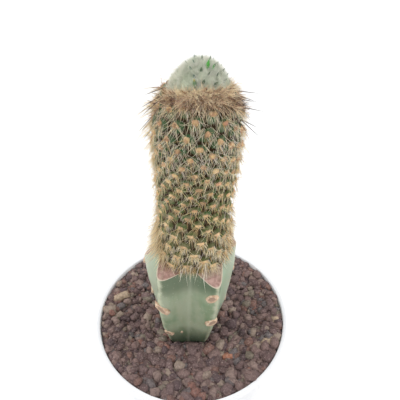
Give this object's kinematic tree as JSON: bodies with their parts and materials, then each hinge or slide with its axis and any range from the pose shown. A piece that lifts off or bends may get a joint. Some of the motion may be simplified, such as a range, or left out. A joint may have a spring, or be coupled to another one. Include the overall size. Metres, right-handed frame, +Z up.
{
  "type": "potted cactus",
  "caption": "Grafted column cactus in a round white pot: a spiny tubercled column with a woolly tip on a ribbed green rootstock, standing in gritty stone mix.",
  "frame": {"origin": "centre of the pot's base, on the surface that it stands on", "axes": "+Z up along the pot's axis, -Y towards the viewer of the picture, +X to the viewer's right"},
  "size_m": [0.1124, 0.1124, 0.2698],
  "materials": {
    "pot": "satin",
    "soil": "matte",
    "rootstock": "matte",
    "scion": "matte",
    "wool": "matte"
  },
  "bodies": {
    "root": {"pot": "pot", "soil": "soil", "rootstock": "rootstock", "scion": "scion", "woolly_head": "wool"}
  },
  "joints": []
}
